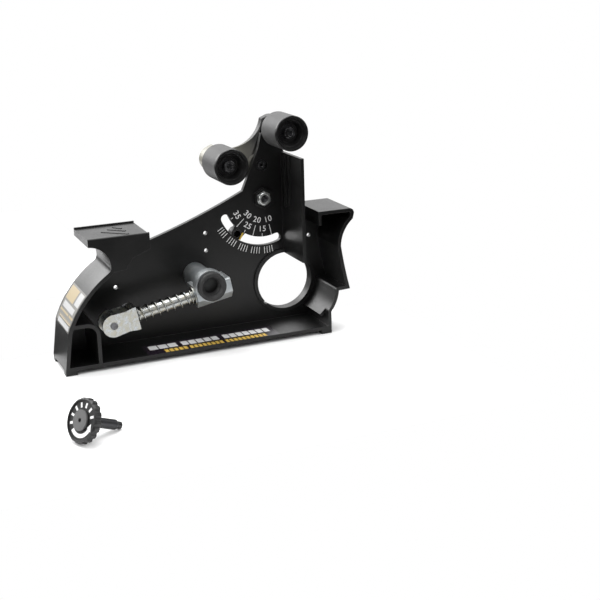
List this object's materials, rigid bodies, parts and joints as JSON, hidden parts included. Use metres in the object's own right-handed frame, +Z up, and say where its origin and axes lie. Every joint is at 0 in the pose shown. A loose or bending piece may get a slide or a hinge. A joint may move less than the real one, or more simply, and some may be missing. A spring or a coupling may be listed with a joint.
{
  "type": "honing guide",
  "caption": "Belt sharpening attachment that sets a knife's honing angle: moulded tray with knife rests, tilting roller head, angle lever and scale, sprung tensioner, and loose clamp knob.",
  "frame": {"origin": "centre of the drive opening, on the front face of the web", "axes": "+X along the base to the right, +Y from the open front to the back along the drive opening's axis, +Z up"},
  "size_m": [0.2387, 0.1757, 0.1607],
  "materials": {
    "moulded_black": "satin moulded plastic, fine texture",
    "bracket_black": "smooth moulded plastic",
    "pointer_yellow": "moulded",
    "dark_steel": "blackened",
    "zinc_steel": "bright zinc plate",
    "roller_grey": "ground grey band on black moulding",
    "bearing_steel": "ground",
    "cast_zinc": "die cast, plated",
    "rubber_black": "moulded",
    "spring_steel": "bright zinc plate",
    "knob_black": "satin",
    "knob_grey": "satin",
    "black_oxide": "black oxide",
    "print_white": "screen printed",
    "label_film": "printed film",
    "label_gold": "printed film"
  },
  "bodies": {
    "frame": {"housing": "moulded_black", "lever_bolt": "dark_steel", "lever_nut": "zinc_steel", "lever_washer": "zinc_steel", "head_pin": "dark_steel", "head_pin_clip": "dark_steel", "tension_block": "cast_zinc", "block_bush": "rubber_black", "block_screw": "dark_steel", "spring_washer": "zinc_steel", "tension_spring": "spring_steel"},
    "lever": {"angle_lever": "moulded_black", "lock_insert": "black_oxide", "angle_pointer": "pointer_yellow"},
    "head": {"head_bracket": "bracket_black", "lower_roller_axle": "bearing_steel", "upper_roller_axle": "bearing_steel", "lower_axle_screw": "dark_steel", "upper_axle_screw": "dark_steel"},
    "lower_roller": {"lower_roller": "roller_grey", "lower_roller_bearings": "dark_steel"},
    "upper_roller": {"upper_roller": "roller_grey", "upper_roller_bearings": "dark_steel"},
    "plunger": {"tension_rod": "zinc_steel", "rod_screw": "dark_steel", "yoke": "zinc_steel", "yoke_pin": "dark_steel"},
    "knob": {"knob_grip": "knob_black", "knob_cap": "knob_grey", "knob_stud": "black_oxide"}
  },
  "joints": [
    {"name": "lever_swing", "type": "hinge", "parent": "frame", "child": "lever", "pos_m": [-0.0148, 0, 0.064], "axis": [0, 1, 0], "range_deg": [-45, 30]},
    {"name": "head_tilt", "type": "hinge", "parent": "frame", "child": "head", "pos_m": [-0.0148, 0, 0.088], "axis": [0, 1, 0], "range_deg": [-10, 15]},
    {"name": "lower_roller_spin", "type": "hinge", "parent": "head", "child": "lower_roller", "pos_m": [-0.0485, 0, 0.0944], "axis": [0, 1, 0], "continuous": true},
    {"name": "upper_roller_spin", "type": "hinge", "parent": "head", "child": "upper_roller", "pos_m": [-0.003, 0, 0.1137], "axis": [0, 1, 0], "continuous": true},
    {"name": "tension_slide", "type": "slide", "parent": "frame", "child": "plunger", "axis": [0.9833, 0, 0.1822], "range_m": [0, 0.02], "stiffness_N_per_m": 400, "springref_m": -0.006, "deforming": ["tension_spring"]},
    {"name": "knob_lift", "type": "slide", "parent": "frame", "child": "knob", "axis": [0, 0, 1], "range_m": [0, 0.06]}
  ],
  "couplings": [
    {"joint": "head_tilt", "follows": "lever_swing", "ratio": -0.33333}
  ]
}
